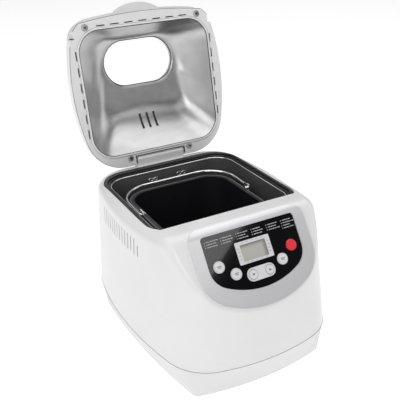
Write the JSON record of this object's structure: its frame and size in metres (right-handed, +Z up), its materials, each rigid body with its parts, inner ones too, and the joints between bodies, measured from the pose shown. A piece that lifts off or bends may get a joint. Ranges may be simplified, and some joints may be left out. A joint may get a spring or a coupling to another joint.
{
  "type": "bread machine",
  "caption": "Countertop bread machine with an open windowed lid, a removable pan with paddle and a slanted control panel.",
  "frame": {"origin": "on the supporting surface, under the kneading shaft, which is within 2 mm of the middle of the machine's box with the lid open", "axes": "+Z up, -Y towards the control panel, +X to the right of a person facing the panel"},
  "size_m": [0.268, 0.3947, 0.4474],
  "materials": {
    "white_plastic": "gloss",
    "base_plastic": "satin",
    "pearl_silver": "satin metallic",
    "black_gloss": "gloss",
    "black_plastic": "matte",
    "key_white": "satin",
    "key_red": "satin",
    "display_white": "satin",
    "display_grey": "gloss",
    "clear_glass": "clear",
    "rubber": "matte",
    "seal_grey": "matte",
    "aluminium": "satin",
    "chamber_metal": "satin dark grey",
    "nonstick": "non-stick coating",
    "steel": "zinc plated",
    "bright_wire": "polished",
    "heater_metal": "dulled by heat",
    "bronze": "satin",
    "copper_windings": "enamelled wire",
    "ceramic": "matte",
    "circuit_board": "satin",
    "capacitor_can": "satin"
  },
  "bodies": {
    "housing": {"outer_housing": "white_plastic", "base_tray": "base_plastic", "rubber_feet": "rubber", "chassis_plate": "steel", "frame_screws": "steel", "cord_gland": "black_plastic", "rim_frame": "black_plastic", "baking_chamber": "chamber_metal", "chamber_spacers": "steel", "heating_element": "heater_metal", "heater_terminals": "ceramic", "heater_clips": "steel", "temperature_sensor": "steel", "thermal_fuse": "ceramic", "pan_clips": "steel", "drive_bush": "bronze", "drive_belt": "rubber", "motor_stator": "copper_windings", "motor_brackets": "steel", "motor_capacitor": "capacitor_can", "power_board": "circuit_board", "transformer": "copper_windings", "control_bezel": "pearl_silver", "control_overlay": "black_gloss", "control_carrier": "black_plastic", "control_board": "circuit_board", "tact_switches": "black_plastic", "display_frame": "display_white", "display_glass": "display_grey", "display_module": "circuit_board", "time_key_trim": "key_white", "hinge_tower": "white_plastic", "hinge_pins": "steel"},
    "lid": {"lid_cover": "white_plastic", "lid_liner": "white_plastic", "lid_dish": "aluminium", "window_glass": "clear_glass", "window_gasket": "seal_grey", "lid_screws": "steel"},
    "pan": {"bread_pan": "nonstick", "pan_base_ring": "aluminium", "pan_ears": "bright_wire", "pan_bush": "bronze"},
    "handle": {"pan_handle": "bright_wire"},
    "kneading_shaft": {"pan_shaft": "steel", "shaft_seal": "rubber", "pan_coupling": "aluminium"},
    "paddle": {"kneading_paddle": "nonstick"},
    "drive": {"drive_shaft": "steel", "drive_coupling": "steel", "drive_pulley": "black_plastic"},
    "motor_rotor": {"motor_shaft": "steel", "motor_pulley": "steel", "cooling_fan": "black_plastic"},
    "menu_key": {"menu_button": "key_white"},
    "weight_key": {"weight_button": "key_white"},
    "time_down_key": {"time_down_button": "key_white"},
    "time_up_key": {"time_up_button": "key_white"},
    "crust_key": {"crust_button": "key_white"},
    "start_stop_key": {"start_stop_button": "key_red"}
  },
  "joints": [
    {"name": "lid_hinge", "type": "hinge", "parent": "housing", "child": "lid", "pos_m": [0, 0.1212, 0.2232], "axis": [-1, 0, 0], "range_deg": [-100.3, 0]},
    {"name": "pan_lift", "type": "slide", "parent": "housing", "child": "pan", "axis": [0, 0, 1], "range_m": [0, 0.24]},
    {"name": "handle_fold", "type": "hinge", "parent": "pan", "child": "handle", "pos_m": [0, 0, 0.1927], "axis": [1, 0, 0], "range_deg": [0, 172]},
    {"name": "drive_spin", "type": "hinge", "parent": "housing", "child": "drive", "pos_m": [0, 0, 0.04], "axis": [0, 0, 1], "continuous": true},
    {"name": "shaft_spin", "type": "hinge", "parent": "pan", "child": "kneading_shaft", "pos_m": [0, 0, 0.08], "axis": [0, 0, 1], "continuous": true},
    {"name": "motor_spin", "type": "hinge", "parent": "housing", "child": "motor_rotor", "pos_m": [-0.042, -0.146, 0.06], "axis": [0, 0, 1], "continuous": true},
    {"name": "paddle_lift", "type": "slide", "parent": "kneading_shaft", "child": "paddle", "axis": [0, 0, 1], "range_m": [0, 0.12]},
    {"name": "menu_key_press", "type": "slide", "parent": "housing", "child": "menu_key", "axis": [0, 0.8271, -0.5621], "range_m": [0, 0.001], "stiffness_N_per_m": 400, "springref_m": -0.002},
    {"name": "weight_key_press", "type": "slide", "parent": "housing", "child": "weight_key", "axis": [0, 0.8271, -0.5621], "range_m": [0, 0.001], "stiffness_N_per_m": 400, "springref_m": -0.002},
    {"name": "time_down_key_press", "type": "slide", "parent": "housing", "child": "time_down_key", "axis": [0, 0.8271, -0.5621], "range_m": [0, 0.001], "stiffness_N_per_m": 400, "springref_m": -0.002},
    {"name": "time_up_key_press", "type": "slide", "parent": "housing", "child": "time_up_key", "axis": [0, 0.8271, -0.5621], "range_m": [0, 0.001], "stiffness_N_per_m": 400, "springref_m": -0.002},
    {"name": "crust_key_press", "type": "slide", "parent": "housing", "child": "crust_key", "axis": [0, 0.8271, -0.5621], "range_m": [0, 0.001], "stiffness_N_per_m": 400, "springref_m": -0.002},
    {"name": "start_stop_key_press", "type": "slide", "parent": "housing", "child": "start_stop_key", "axis": [0, 0.8271, -0.5621], "range_m": [0, 0.001], "stiffness_N_per_m": 400, "springref_m": -0.002}
  ],
  "couplings": [
    {"joint": "shaft_spin", "follows": "drive_spin", "ratio": 1},
    {"joint": "motor_spin", "follows": "drive_spin", "ratio": 6.1111}
  ]
}
